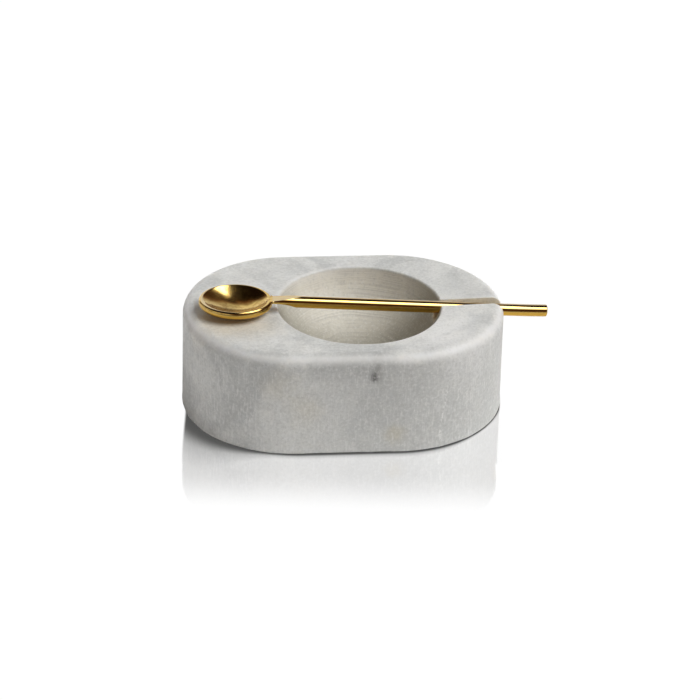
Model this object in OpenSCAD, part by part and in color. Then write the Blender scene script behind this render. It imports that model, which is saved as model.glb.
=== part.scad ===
// Marble salt bowl: a block of marble with a round hollow for the salt, and a
// brass spoon that lies across it with its handle in a groove.
// The origin is the middle of the block's flat base. +X runs along the block
// towards the groove, +Y to the back and +Z up. Lengths are in millimetres.

/* [Marble block] */
// Length of the block from end to end
block_length = 108; // [98:1:130]
// Depth of the block from front to back
block_depth = 76; // [70:1:88]
// Height of the block
block_height = 36; // [30:1:48]
// Radius of the soft edge round the top
top_edge_radius = 4; // [1:0.5:6]
// Radius of the fine edge round the base
base_edge_radius = 0.5; // [0.25:0.25:1.5]

/* [Salt hollow] */
// Diameter of the hollow at the top of the block
hollow_diameter = 55; // [46:1:60]
// Depth of the hollow in its middle
hollow_depth = 21; // [14:0.5:25]
// How far the hollow lies from the block's middle, towards the groove
hollow_shift = 5.2; // [0:0.2:8]
// How far the hollow lies in front of the block's long axis
hollow_forward = 1.1; // [0:0.1:3]
// Radius of the fine edge round the hollow's rim
hollow_edge_radius = 0.7; // [0.3:0.1:1.5]

/* [Spoon groove] */
// Width of the groove, which is round at the bottom
groove_width = 4.4; // [4.4:0.1:8]
// Depth of the groove
groove_depth = 6; // [3:0.1:8]
// Angle between the groove and the block's long axis, seen from above
groove_turn = 3.5; // [0:0.1:5]
// How far behind the long axis the groove leaves the block
groove_back = 0.45; // [0:0.05:2]

/* [Spoon] */
// Length of the whole spoon
spoon_length = 118.3; // [108:0.1:126]
// How far the handle sticks out of the block
handle_overhang = 15.1; // [6:0.1:20]
// Diameter of the handle's round rod
handle_diameter = 4.1; // [3:0.1:4.2]
// Width of the bevel round the handle's free end
handle_bevel = 0.25; // [0.1:0.05:0.5]
// Length of the spoon's bowl, along the handle
scoop_length = 24.8; // [20:0.2:28]
// Width of the spoon's bowl, across the handle
scoop_width = 21.6; // [18:0.2:28]
// Height of the spoon's bowl, from its underside to its rim
scoop_height = 5; // [4:0.2:7]
// Thickness of the spoon's bowl at its lowest point
scoop_wall = 1; // [0.6:0.1:1.4]
// Width of the flat top of the spoon's rim
rim_width = 1.4; // [0.8:0.1:2]
// Height of the upright band round the outside of the rim
rim_height = 1.1; // [1:0.1:1.4]
// Radius that softens the outer edge of the rim
rim_edge_radius = 0.35; // [0.1:0.05:0.5]
// Thickness of the handle's flattened tongue
tongue_thickness = 0.9; // [0.6:0.1:1]
// How far the tongue's underside lies above the handle's axis
tongue_rise = 0.35; // [0:0.05:0.5]
// Length of the level tongue between the rim and the handle's bevels
tongue_length = 1.9; // [1:0.1:4]
// Angle of the bevel on top of the neck, from the handle's axis
neck_top_angle = 6.5; // [6:0.5:20]
// Angle of the bevel under the neck, from the handle's axis
neck_under_angle = 13.5; // [10:0.5:25]
// Radius of the bead of filler metal where the tongue meets the rim
bead_radius = 1.5; // [1:0.1:2]

/* [Fit] */
// Gap left where the spoon rests on the marble
rest_gap = 0.1; // [0.05:0.05:0.3]

/* [Hidden] */
marble_colour = "gainsboro";
brass_colour = "goldenrod";
filler_colour = "darkgoldenrod";
// One overrun serves every cut
overrun = 1;
// Sides of the spoon's oval forms
oval_sides = 48;
// Steps in each curve of the spoon bowl's section
section_steps = 8;

// Outline of the block: two round ends and two straight sides
end_radius = block_depth / 2;
end_centre = block_length / 2 - end_radius;

// The hollow is part of a sphere
hollow_radius = hollow_diameter / 2;
sphere_radius = (pow(hollow_radius, 2) + pow(hollow_depth, 2)) / (2 * hollow_depth);
sphere_height = block_height - hollow_depth + sphere_radius;
hollow_edge_height = block_height - hollow_edge_radius;
hollow_edge_drop = sphere_height - hollow_edge_height;
hollow_edge_reach = sqrt(pow(sphere_radius + hollow_edge_radius, 2) - pow(hollow_edge_drop, 2));
// The rim's edge and the sphere run into each other at this height
hollow_edge_start = sphere_height - hollow_edge_drop * sphere_radius / (sphere_radius + hollow_edge_radius);

// The spoon's line starts where the groove leaves the block, and runs back over the hollow
scoop_place = handle_overhang - spoon_length + scoop_length / 2;
neck_place = scoop_place + scoop_length / 2;
scoop_floor = block_height + rest_gap;
rim_top = scoop_floor + scoop_height;
handle_radius = handle_diameter / 2;
groove_floor = block_height - groove_depth;
seat_height = groove_floor + handle_radius + rest_gap;
tongue_underside = rim_top - tongue_thickness;
axis_height_at_neck = tongue_underside - tongue_rise;
handle_pitch = atan((axis_height_at_neck - seat_height) / -neck_place);
// The rod runs from just inside the rim to its free end
rod_length = (handle_overhang - neck_place + rim_width) / cos(handle_pitch);

// Half of the block's upright section, from the middle out to the wall
module wall_section() {
    translate([0, base_edge_radius])
        square([end_radius, block_height - top_edge_radius - base_edge_radius]);
    square([end_radius - base_edge_radius, block_height - top_edge_radius]);
    square([end_radius - top_edge_radius, block_height]);
    translate([end_radius - base_edge_radius, base_edge_radius])
        circle(r = base_edge_radius, $fn = 32);
    translate([end_radius - top_edge_radius, block_height - top_edge_radius])
        circle(r = top_edge_radius, $fn = 48);
}

// The whole block before anything is cut out of it
module solid_block() {
    translate([end_centre, 0, 0])
        rotate([0, 0, -90])
            rotate_extrude(angle = 180, $fn = 180)
                wall_section();
    translate([-end_centre, 0, 0])
        rotate([0, 0, 90])
            rotate_extrude(angle = 180, $fn = 180)
                wall_section();
    translate([-end_centre, 0, 0])
        rotate([90, 0, 90])
            linear_extrude(2 * end_centre) {
                wall_section();
                mirror([1, 0])
                    wall_section();
            }
}

// The space of the hollow: part of a sphere with a softened rim
module hollow_space() {
    rotate_extrude($fn = 180) {
        intersection() {
            translate([0, sphere_height])
                circle(r = sphere_radius, $fn = 180);
            square([sphere_radius, hollow_edge_start]);
        }
        difference() {
            translate([0, hollow_edge_start])
                square([hollow_edge_reach, block_height - hollow_edge_start + overrun]);
            translate([hollow_edge_reach, hollow_edge_height])
                circle(r = hollow_edge_radius, $fn = 48);
        }
    }
}

// Places what lies along the spoon's line, whose zero is where the groove leaves the block
module on_spoon_line() {
    translate([block_length / 2, groove_back, 0])
        rotate([0, 0, groove_turn])
            children();
}

// The space of the groove, from inside the hollow out past the end of the block
module groove_space() {
    groove_radius = groove_width / 2;
    groove_length = block_length / 2 - hollow_shift + overrun;
    on_spoon_line() {
        translate([-groove_length + overrun, 0, groove_floor + groove_radius])
            rotate([0, 90, 0])
                cylinder(h = groove_length, r = groove_radius, $fn = 64);
        translate([-groove_length + overrun, -groove_radius, groove_floor + groove_radius])
            cube([groove_length, groove_width, groove_depth - groove_radius + overrun]);
    }
}

module marble_block() {
    color(marble_colour)
        difference() {
            solid_block();
            translate([hollow_shift, -hollow_forward, 0])
                hollow_space();
            groove_space();
        }
}

// Points along a quarter of an oval, from its side down to its lowest point
function quarter_oval(reach, drop, side_height) = [
    for (step = [0 : section_steps])
        let (angle = 90 * step / section_steps)
        [reach * cos(angle), side_height - drop * sin(angle)]
];

// Points round the softened outer edge of the rim, from its top outwards
function rim_edge(reach) = [
    for (step = [0 : section_steps / 2])
        let (angle = 90 - 180 * step / section_steps)
        [
            reach - rim_edge_radius + rim_edge_radius * cos(angle),
            scoop_height - rim_edge_radius + rim_edge_radius * sin(angle)
        ]
];

function reversed(points) = [for (i = [len(points) - 1 : -1 : 0]) points[i]];

// Sweeps a section round the middle of the spoon's bowl, to an oval as wide as the bowl
module oval_sweep() {
    on_spoon_line()
        translate([scoop_place, 0, scoop_floor])
            resize([scoop_length, scoop_width, 0])
                rotate_extrude($fn = oval_sides)
                    children();
}

module spoon_bowl() {
    reach = scoop_length / 2;
    color(brass_colour)
        oval_sweep()
            polygon(concat(
                rim_edge(reach),
                quarter_oval(reach, scoop_height - rim_height, scoop_height - rim_height),
                reversed(quarter_oval(reach - rim_width, scoop_height - scoop_wall, scoop_height))
            ));
}

// The spoon bowl's outside as a solid form, which the tongue and the bead are cut to fit
module bowl_form() {
    reach = scoop_length / 2;
    form_height = scoop_height + overrun;
    oval_sweep()
        polygon(concat(
            [[reach, form_height]],
            quarter_oval(reach, scoop_height - rim_height, scoop_height - rim_height),
            [[0, form_height]]
        ));
}

// Places what lies along the handle's axis, whose zero is at the end of the block
module on_handle_axis() {
    on_spoon_line()
        translate([0, 0, seat_height])
            rotate([0, handle_pitch, 0])
                children();
}

// The rod before its neck is flattened, with a bevelled free end
module rod() {
    on_handle_axis()
        rotate([0, 90, 0]) {
            translate([0, 0, handle_overhang - rod_length])
                cylinder(h = rod_length - handle_bevel, r = handle_radius, $fn = 64);
            translate([0, 0, handle_overhang - handle_bevel])
                cylinder(
                    h = handle_bevel,
                    r1 = handle_radius,
                    r2 = handle_radius - handle_bevel,
                    $fn = 64
                );
        }
}

// Side view of the neck: a level tongue that opens out over two bevels into the full rod
module neck_profile() {
    bevel_start = neck_place + tongue_length;
    run = handle_overhang - bevel_start + overrun;
    polygon([
        [neck_place - 2 * rim_width, tongue_underside],
        [bevel_start, tongue_underside],
        [bevel_start + run, tongue_underside - run * tan(handle_pitch + neck_under_angle)],
        [bevel_start + run, rim_top + run * tan(neck_top_angle - handle_pitch)],
        [bevel_start, rim_top],
        [neck_place - 2 * rim_width, rim_top]
    ]);
}

module spoon_handle() {
    color(brass_colour)
        difference() {
            intersection() {
                rod();
                on_spoon_line()
                    translate([0, handle_diameter, 0])
                        rotate([90, 0, 0])
                            linear_extrude(2 * handle_diameter)
                                neck_profile();
            }
            bowl_form();
        }
}

// A bead of filler metal under the tongue, in the corner that it makes with the rim
module braze_fillet() {
    color(filler_colour)
        difference() {
            on_spoon_line()
                translate([neck_place, 0, tongue_underside])
                    sphere(r = bead_radius, $fn = 48);
            on_spoon_line()
                translate([neck_place - handle_diameter, -handle_diameter, tongue_underside])
                    cube([2 * handle_diameter, 2 * handle_diameter, handle_diameter]);
            bowl_form();
        }
}

marble_block();
spoon_bowl();
spoon_handle();
braze_fillet();
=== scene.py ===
"""Marble salt bowl with a brass spoon, dressed around its packed frame. Lengths are in metres."""

import math

import bmesh
import bpy
import numpy as np
from bpy.props import FloatProperty, FloatVectorProperty, PointerProperty
from bpy.types import Operator, Panel, PropertyGroup
from mathutils import Matrix, Vector, noise


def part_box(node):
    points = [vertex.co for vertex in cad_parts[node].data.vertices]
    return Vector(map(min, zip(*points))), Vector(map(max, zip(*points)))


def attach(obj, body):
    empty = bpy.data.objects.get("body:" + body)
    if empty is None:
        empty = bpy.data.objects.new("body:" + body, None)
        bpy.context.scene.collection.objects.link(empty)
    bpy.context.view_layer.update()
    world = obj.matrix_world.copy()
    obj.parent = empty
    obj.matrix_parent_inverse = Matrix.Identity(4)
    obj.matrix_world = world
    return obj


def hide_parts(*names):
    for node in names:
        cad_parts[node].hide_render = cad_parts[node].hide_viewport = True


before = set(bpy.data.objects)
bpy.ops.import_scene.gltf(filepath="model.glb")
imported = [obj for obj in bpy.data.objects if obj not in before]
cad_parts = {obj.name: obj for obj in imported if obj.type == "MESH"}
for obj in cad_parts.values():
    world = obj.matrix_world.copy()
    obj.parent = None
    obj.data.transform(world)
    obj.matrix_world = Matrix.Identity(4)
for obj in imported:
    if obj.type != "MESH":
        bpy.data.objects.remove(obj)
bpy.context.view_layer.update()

bl_info = {
    "name": "Marble Salt Bowl",
    "version": (1, 0, 0),
    "blender": (4, 5, 0),
    "location": "View3D > Sidebar > Salt Bowl",
    "description": "Builds a marble salt bowl with a brass spoon, and the studio that shows it",
    "category": "Object",
}

BLOCK_LOW, BLOCK_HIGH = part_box("marble_block")
SCOOP_LOW, SCOOP_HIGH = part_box("spoon_bowl")
BLOCK_LENGTH = BLOCK_HIGH.x - BLOCK_LOW.x
BLOCK_DEPTH = BLOCK_HIGH.y - BLOCK_LOW.y
BLOCK_HEIGHT = BLOCK_HIGH.z
MILLIMETRE = 0.001
UP = (0.0, 0.0, 1.0)
WHITE = (1.0, 1.0, 1.0)

# Steps of the block's mesh along each line, from the middle of the hollow out to the base
HOLLOW_SHARES = np.concatenate([np.linspace(0, 0.86, 34), np.linspace(0.87, 1, 14)])
HOLLOW_EDGE_STEPS = 7
TOP_STEPS = 20
SOFT_EDGE_STEPS = 15
WALL_STEPS = 28
FINE_EDGE_STEPS = 5
BASE_STEPS = 12
# Lines of the block's mesh that fan out round the hollow, beside those along the groove
FAN_LINES = 264
# Inside this share of the hollow's radius, the mesh's lines run straight from its middle
BEND_SHARE = 0.85
GROOVE_FLOOR_STEPS = 9
GROOVE_EDGE_STEPS = 5
# The search for the outline looks this far along a line, and halves the stretch this many times
SEARCH_SHARE = 1.5
SEARCH_HALVINGS = 40

# Steps of the spoon bowl's mesh: round it, across its inside, over its rim and under it
SCOOP_SIDES = 144
INSIDE_STEPS = 26
RIM_STEPS = 12
UNDER_STEPS = 27
# The inside runs this share of the way to the rim before it turns over the inner lip
INSIDE_SHARE = 0.97
INNER_LIP = 0.00012
LIP_SHARES = (0.25, 0.5, 0.75, 1.0)
# The rim's top falls outwards at this angle, up to a narrow burr along its outer edge
RIM_FALL = math.radians(10)
RIM_BURR = 0.00012
# The underside starts this many degrees below the rim, and how full and how skewed it is
UNDER_START = 4
UNDER_FULLNESS = 0.95
UNDER_SKEW = 0.6

# Steps of the handle's mesh: along its neck and rod, and round each flat and each side
NECK_STEPS = 48
ROD_STEPS = 60
FLAT_STEPS = 12
SIDE_STEPS = 16
# How far the tongue reaches in over the rim, and how slowly the neck swells at first
TONGUE_OVERLAP = 0.0011
NECK_SWELL = 2.8
# The mesh is finer along this many neck lengths, and no flat of its rings is narrower than this
FINE_NECK_SHARE = 1.25
LEAST_FLAT = math.radians(20)
# The filler metal: share of the rod's radius where it starts, and its rounded edge
WEB_SHARE = 0.93
WEB_ROUNDING = 0.00022
WEB_STEPS = 14
# How far it reaches in over the rim, lies below the tongue's top and reaches under the tongue
WEB_OVERLAP = 0.0004
WEB_DROP = 0.00006
WEB_UNDERLAP = 0.0002

# Unevenness of the surfaces, in layers: the share, the size of the features and the seed
WALL_WAVES = ((0.6, 0.024, 3.0), (0.4, 0.009, 7.0))
BASE_WEAR = ((1.0, 0.007, 11.0),)
CAST_DENTS = ((0.65, 0.0045, 5.0), (0.35, 0.0018, 9.0))
RIM_WAVES = ((1.0, 0.006, 15.0),)

# From here to the softbox, lengths are in millimetres
HALF_LENGTH = BLOCK_LENGTH / 2 / MILLIMETRE
HALF_DEPTH = BLOCK_DEPTH / 2 / MILLIMETRE
TOP = BLOCK_HEIGHT / MILLIMETRE
# Noises of the materials: features per millimetre, detail, roughness and distortion
CLOUDS = (0.045, 5.0, 0.6, 0.8)
MOTTLE = (0.16, 5.0, 0.6, 0.3)
GRAIN = (1.0, 3.0, 0.7)
SPECKLE = (0.45, 4.0, 0.7, 0.4)
WARP = (0.09, 4.0, 0.6)
STROKES = (1.0, 3.0, 0.6)
RING_WOBBLE = (0.06, 2.0)
RING_PATCHES = (0.12, 2.0)
RING_PITCH = (1.0, 3.0, 0.75)
SMUDGES = (0.5, 4.0, 0.65, 0.8)
SPECKS = (2.2, 3.0, 0.6)
DRAWN_LINES = (1.0, 4.0, 0.65)
# How far the veins wander, and how ragged the borders of the patches are
WANDER = 14.0
RAGGEDNESS = 9.0
# Squeezes the grain so that it shows as upright strokes
STROKE_STRETCH = (1.5, 1.5, 0.22)

# Patches of the stone: the middle, the size and the strength of each
GREY_PATCHES = (
    ((39.0, 11.0, TOP), 13.0, 0.5),
    ((43.0, -27.0, 30.0), 12.0, 0.5),
    ((-2.0, -HALF_DEPTH, 33.0), 5.0, 0.5),
    ((-50.0, 4.0, TOP), 14.0, 0.45),
    ((9.0, -36.5, TOP), 3.6, 0.5),
    ((15.5, -31.8, TOP), 3.2, 0.6),
    ((21.0, -31.2, TOP), 3.2, 0.5),
    ((26.0, -30.5, TOP), 3.6, 0.4),
)
STAIN_PATCHES = (
    ((-24.0, -37.0, 26.0), 9.0, 0.3),
    ((-15.6, -HALF_DEPTH, 16.7), 9.0, 0.3),
    ((14.4, -HALF_DEPTH, 6.4), 6.0, 0.5),
)
PALE_PATCHES = (
    ((34.0, -24.0, TOP), 22.0, 0.6),
)
# Painted reflection: warm light that the spoon's brass bowl throws on the top beside it
BRASS_REFLECTION_PATCHES = (
    ((-42.0, -13.0, TOP), 15.0, 0.5),
    ((-30.0, -15.0, TOP), 12.0, 0.3),
)
DARK_SPOTS = (
    ((7.4, -HALF_DEPTH, 28.4), 1.9, 0.9),
    ((7.4, -HALF_DEPTH, 28.8), 4.2, 0.4),
    ((7.6, -HALF_DEPTH, 32.5), 3.0, 0.4),
    ((7.8, -36.5, 35.5), 3.4, 0.3),
    ((12.5, -32.0, TOP), 3.6, 0.25),
    ((3.0, -37.8, 31.0), 3.0, 0.2),
)
# The left part of the front, where the upright strokes are strongest
STROKE_PATCH = ((-44.0, -26.0, 14.0), 26.0)
# Veins: the way across the vein, its place along that way and its width
FAINT_VEIN = ((0.45, -0.85, 0.25), 43.0, 2.6)
BRIGHT_VEIN = ((1.0, 0.0, -0.07), 29.6, 0.6)

# Left and right limits of the floor's gloss, seen from the camera, and how softly they end
GLOSS_LEFT = -52.7
GLOSS_RIGHT = 54.3
GLOSS_FADE = 1.0

# The softbox's left, right, front and back edges: the way across each, and where it fades in
SOFTBOX_EDGES = (
    ((1.0, -0.12, -0.318), -0.015, 0.02),
    ((1.4, -1.0, -0.16), -0.1, 0.1),
    ((-0.53, -1.0, 0.62), -0.12, 0.1),
    ((0.6, 1.0, 1.25), 0.1, 0.75),
)
SOFTBOX_MIDDLE = Vector((0.7, -0.1, 1.0)).normalized()
BACKDROP_TURN = math.radians(184)
AMBIENT = 0.008
SENSOR_WIDTH = 36.0
FLOOR_SIDES = 96
# Depth of the relief of the stone and of the brass, and how deep light goes into the stone
STONE_RELIEF = 0.00006
BRASS_RELIEF = 0.000003
LIGHT_DEPTH = 0.0015


def length(name, description, default):
    """A length that the sidebar shows in the scene's unit."""
    return FloatProperty(
        name=name, description=description, default=default, unit="LENGTH", precision=5
    )


def angle(name, description, degrees):
    """An angle, given in degrees and kept in radians."""
    return FloatProperty(
        name=name, description=description, default=math.radians(degrees), unit="ROTATION"
    )


def colour(name, description, default):
    """A colour with no transparency."""
    return FloatVectorProperty(
        name=name, description=description, default=default, subtype="COLOR", size=3, min=0, max=1
    )


class BlockSizes(PropertyGroup):
    """Sizes of the marble block, its hollow and its groove."""

    left_end_radius: length("Left end", "Radius of the blunt left end", 0.045)
    left_shoulder_radius: length("Left shoulders", "Radius of the left shoulders", 0.036)
    right_end_radius: length("Right end", "Radius of the blunt right end", 0.041)
    right_shoulder_radius: length("Right shoulders", "Radius of the right shoulders", 0.0375)
    top_edge_radius: length("Top edge", "Radius of the soft edge round the top", 0.004)
    base_edge_radius: length("Base edge", "Radius of the fine edge round the base", 0.0005)
    hollow_diameter: length("Hollow", "Diameter of the hollow at the top", 0.055)
    hollow_depth: length("Hollow depth", "Depth of the hollow in its middle", 0.021)
    hollow_shift: length("Hollow shift", "Distance of the hollow from the middle", 0.0052)
    hollow_forward: length("Hollow forward", "Distance of the hollow before the axis", 0.0011)
    hollow_edge_radius: length("Hollow edge", "Radius of the hollow's edge", 0.0007)
    groove_width: length("Groove", "Width of the groove", 0.0044)
    groove_depth: length("Groove depth", "Depth of the groove", 0.006)
    groove_back: length("Groove back", "Distance of its mouth behind the axis", 0.00045)
    groove_turn: angle("Groove turn", "Angle between the groove and the long axis", 3.5)
    groove_edge_radius: length("Groove edge", "Radius of the groove's edges", 0.00025)
    unevenness: length("Unevenness", "How far the hand-ground walls stray inwards", 0.00022)
    base_chipping: length("Base chipping", "How far the base edge is worn up", 0.00035)


class SpoonSizes(PropertyGroup):
    """Sizes of the brass spoon."""

    rest_gap: length("Rest gap", "Gap left where the spoon rests on the marble", 0.0001)
    handle_overhang: length("Overhang", "How far the handle sticks out of the block", 0.01505)
    handle_diameter: length("Handle", "Diameter of the handle's rod", 0.0041)
    handle_bevel: length("End bevel", "Width of the bevel round the handle's free end", 0.00025)
    scoop_length: length("Scoop length", "Length of the spoon's bowl", 0.0248)
    scoop_width: length("Scoop width", "Width of the spoon's bowl", 0.0216)
    scoop_wall: length("Scoop wall", "Thickness of the spoon's bowl at its lowest point", 0.001)
    rim_width: length("Rim width", "Width of the rim's top at its ends", 0.0014)
    rim_side_width: length("Rim sides", "Width of the rim's top at its sides", 0.0008)
    rim_height: length("Rim height", "Height of the rim's rounded outside", 0.0014)
    rim_edge_radius: length("Rim edge", "How far in the rim's outer edge is rounded", 0.00075)
    tongue_thickness: length("Tongue", "Thickness of the flattened tongue", 0.0009)
    tongue_rise: length("Tongue rise", "Height of the tongue's underside over the axis", 0.00035)
    neck_drop: length("Neck drop", "How far the tongue's top lies below the rim's left end", 0.00047)
    neck_length: length("Neck", "Length over which the neck swells to the rod", 0.0088)
    facet_length: length("Top facet", "Length of the facet on top of the neck", 0.0094)
    end_lift: length("End lift", "How far the handle's free end is bent up", 0.00025)
    web_radius: length("Filler radius", "Radius of the filler metal beside the tongue", 0.002)
    dents: length("Dents", "Depth of the shallow dents that casting left", 0.00003)
    scoop_skew: length("Deepest point", "How far it lies towards the handle", 0.0026)
    scoop_back: length("Scoop back", "How far the spoon's bowl lies behind the handle's line", 0.0011)
    scoop_left: length("Scoop left", "How far it lies to the left of its place", -0.0001)
    scoop_tilt: angle("Scoop tilt", "How far the spoon's bowl slopes down to the handle", 1.2)


class Finishes(PropertyGroup):
    """Colours of the stone and the metal."""

    marble_light: colour("Marble", "The stone's light ground", (0.815, 0.828, 0.80))
    # Also the colour of the painted shade on the walls
    grey_clouds_and_shade: colour("Grey clouds", "The stone's grey clouds", (0.575, 0.592, 0.578))
    marble_vein: colour("Veins", "The stone's dark spots", (0.17, 0.17, 0.165))
    marble_stain: colour("Stain", "The stone's yellowish tints", (0.62, 0.58, 0.45))
    marble_ground: colour("Ground stone", "The rougher stone in the hollow", (0.385, 0.36, 0.275))
    # Painted light on the hollow's back wall
    painted_hollow_light: colour("Hollow's back", "The lighter stone at its back", (0.91, 0.88, 0.79))
    ring_shadow: colour("Grinding arcs", "The arcs ground into the hollow", (0.34, 0.32, 0.28))
    # Also the colour of the painted highlights on the edges
    crystal_and_highlight: colour("Crystals", "The lightest crystals and polished edges", (0.93, 0.935, 0.92))
    grain_dark: colour("Dark grain", "The shadows between the crystals", (0.42, 0.42, 0.40))
    # Painted reflection of the brass on the stone beside it
    painted_brass_glow: colour("Groove", "The warm tone of the stone near the brass", (0.86, 0.76, 0.56))
    brass: colour("Brass", "The spoon's polished brass", (0.66, 0.465, 0.155))
    # Painted reflection tone for the brass faces turned up
    brass_painted_top: colour("Pale brass", "The paler brass on its upper faces", (0.62, 0.485, 0.275))
    # Painted reflection tone for the brass faces turned down
    brass_painted_under: colour("Brass below", "The deeper brass that faces down", (0.68, 0.41, 0.07))
    brass_worn: colour("Worn brass", "The brass where hands have dulled it", (0.36, 0.19, 0.035))
    filler: colour("Filler", "The metal between the handle and the rim", (0.60, 0.44, 0.2))
    floor: colour("Floor", "The pale floor that lights the object", (0.93, 0.93, 0.93))


class Studio(PropertyGroup):
    """The camera and the lights."""

    camera_distance: length("Distance", "Distance of the camera from the block", 1.36)
    camera_azimuth: angle("Azimuth", "Where the camera stands round the block", -5.64)
    camera_elevation: angle("Elevation", "How high the camera stands", 28.47)
    camera_roll: angle("Roll", "Turn of the camera about its line of sight", 1.43)
    camera_lens: FloatProperty(
        name="Lens", description="Focal length", default=207.3, unit="CAMERA"
    )
    camera_shift_x: FloatProperty(name="Shift X", description="Sideways shift", default=0.0109)
    camera_shift_y: FloatProperty(name="Shift Y", description="Upward shift", default=0.0008)
    key_strength: FloatProperty(name="Softbox", description="Strength of the softbox", default=4.25)
    backdrop_strength: FloatProperty(
        name="Backdrop", description="Strength of the backdrop", default=1.0
    )
    floor_radius: length("Floor", "Radius of the floor", 1.2)


def smoothstep(low, high, value):
    """Rises smoothly from 0 at low to 1 at high."""
    share = np.clip((np.asarray(value, float) - low) / (high - low), 0.0, 1.0)
    return share * share * (3.0 - 2.0 * share)


def quarter_turn(steps, start=0.0):
    """Evenly spaced angles up to a quarter of a turn, from a start in degrees."""
    return np.radians(np.linspace(start, 90, steps))


def noise_at(points, layers):
    """Smooth noise at each point, summed over layers of share, feature size and seed."""
    total = np.zeros(len(points))
    for share, size, seed in layers:
        shift = Vector((seed, 2.0 * seed, -seed))
        total += share * np.array([noise.noise(Vector(p) / size + shift) for p in points])
    return total


def new_object(name, mesh, body, nodes):
    """Links a mesh as a piece that rides on a body and stands for CAD nodes."""
    piece = bpy.data.objects.new(name, mesh)
    bpy.context.scene.collection.objects.link(piece)
    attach(piece, body)
    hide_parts(*nodes)
    return piece


def grid_mesh(name, grid, sharp_angle):
    """A mesh of quads from grid[row][column], closed round its rows; double points are merged."""
    rows, columns = grid.shape[:2]
    faces = [
        (a * columns + c, a * columns + c + 1, b * columns + c + 1, b * columns + c)
        for a, b in ((row, (row + 1) % rows) for row in range(rows))
        for c in range(columns - 1)
    ]
    mesh = bpy.data.meshes.new(name)
    mesh.from_pydata([tuple(p) for p in grid.reshape(-1, 3)], [], faces)
    work = bmesh.new()
    work.from_mesh(mesh)
    bmesh.ops.remove_doubles(work, verts=work.verts, dist=MILLIMETRE / 1000)
    bmesh.ops.dissolve_degenerate(work, edges=work.edges, dist=MILLIMETRE / 1000)
    bmesh.ops.recalc_face_normals(work, faces=work.faces)
    work.to_mesh(mesh)
    work.free()
    mesh.shade_smooth()
    mesh.set_sharp_from_angle(angle=math.radians(sharp_angle))
    return mesh


def end_curve(radius, shoulder_radius):
    """Centres of an end's curve and of its shoulders, and the angle where they meet."""
    offset = BLOCK_DEPTH / 2 - shoulder_radius
    centre = BLOCK_LENGTH / 2 - radius
    reach = math.sqrt((radius - shoulder_radius) ** 2 - offset**2)
    return centre, centre + reach, offset, math.atan2(offset, reach)


def outline_distance(x, y, sizes):
    """Distance of each point from the block's outline, which is negative inside."""
    y = np.abs(y)
    distance = y - BLOCK_DEPTH / 2
    for side, radius, shoulder_radius in (
        (-1, sizes.left_end_radius, sizes.left_shoulder_radius),
        (1, sizes.right_end_radius, sizes.right_shoulder_radius),
    ):
        centre, shoulder, offset, half_angle = end_curve(radius, shoulder_radius)
        along = side * x
        on_end = np.arctan2(y, along - centre) < half_angle
        to_end = np.hypot(along - centre, y) - radius
        to_shoulder = np.hypot(along - shoulder, y - offset) - shoulder_radius
        curved = np.where(on_end, to_end, to_shoulder)
        distance = np.where(along > shoulder, curved, distance)
    return distance


def reach_inset(start, end, inset, sizes):
    """Points on the lines from start towards end that lie inset inside the outline."""
    low = np.zeros(len(start))
    high = np.full(len(start), SEARCH_SHARE)
    for _ in range(SEARCH_HALVINGS):
        middle = (low + high) / 2
        point = start + (end - start) * middle[:, None]
        outside = outline_distance(point[:, 0], point[:, 1], sizes) > -inset
        high = np.where(outside, middle, high)
        low = np.where(outside, low, middle)
    return start + (end - start) * high[:, None]


def reach_circle(start, end, centre, radius):
    """Points on the lines from start towards end that lie on a circle round centre."""
    step = end - start
    from_centre = start - centre
    a = (step**2).sum(1)
    b = (step * from_centre).sum(1)
    c = (from_centre**2).sum(1) - radius**2
    return start + step * ((-b + np.sqrt(np.maximum(b * b - a * c, 0))) / a)[:, None]


def groove_frame(sizes):
    """The groove's mouth, its direction and the direction across it."""
    turn = sizes.groove_turn
    mouth = np.array([BLOCK_LENGTH / 2, sizes.groove_back])
    along = np.array([math.cos(turn), math.sin(turn)])
    return mouth, along, np.array([-along[1], along[0]])


def groove_rows(sizes):
    """For each mesh row near the groove: its offset, the floor's height, and the edge's drop."""
    radius = sizes.groove_width / 2
    edge = sizes.groove_edge_radius
    middle = BLOCK_HEIGHT - sizes.groove_depth + radius
    inner = [
        (radius * math.sin(t), middle - radius * math.cos(t), 0.0)
        for t in quarter_turn(GROOVE_FLOOR_STEPS)
    ]
    outer = [
        (radius + edge - edge * math.cos(t), np.inf, edge - edge * math.sin(t))
        for t in quarter_turn(GROOVE_EDGE_STEPS)
    ]
    wide = [(radius + edge + reach * edge * 1.5, np.inf, 0.0) for reach in (1, 2.5)]
    half = inner + outer + wide
    return [(-v, z, d) for v, z, d in reversed(half)] + half[1:]


class Hollow:
    """The salt hollow: part of a sphere, whose rim turns over a fine edge into the flat top."""

    def __init__(self, sizes):
        self.centre = np.array([sizes.hollow_shift, -sizes.hollow_forward])
        radius = sizes.hollow_diameter / 2
        self.sphere = (radius**2 + sizes.hollow_depth**2) / (2 * sizes.hollow_depth)
        self.height = BLOCK_HEIGHT - sizes.hollow_depth + self.sphere
        self.edge = sizes.hollow_edge_radius
        drop = self.height - BLOCK_HEIGHT + self.edge
        self.edge_reach = math.sqrt((self.sphere + self.edge) ** 2 - drop**2)
        self.edge_turn = math.asin(self.edge_reach / (self.sphere + self.edge))
        self.bend = BEND_SHARE * radius


class Columns:
    """Gathers the block's points column by column, each with the way that its surface faces."""

    def __init__(self, aim):
        self.aim = aim
        self.points = []
        self.normals = []

    def add(self, plan, z, outward, up):
        """One column at height z, which faces outward along each line, and up."""
        self.points.append(np.column_stack([plan, np.full(len(plan), z)]))
        self.normals.append(np.column_stack([self.aim * outward, np.full(len(plan), up)]))


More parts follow.
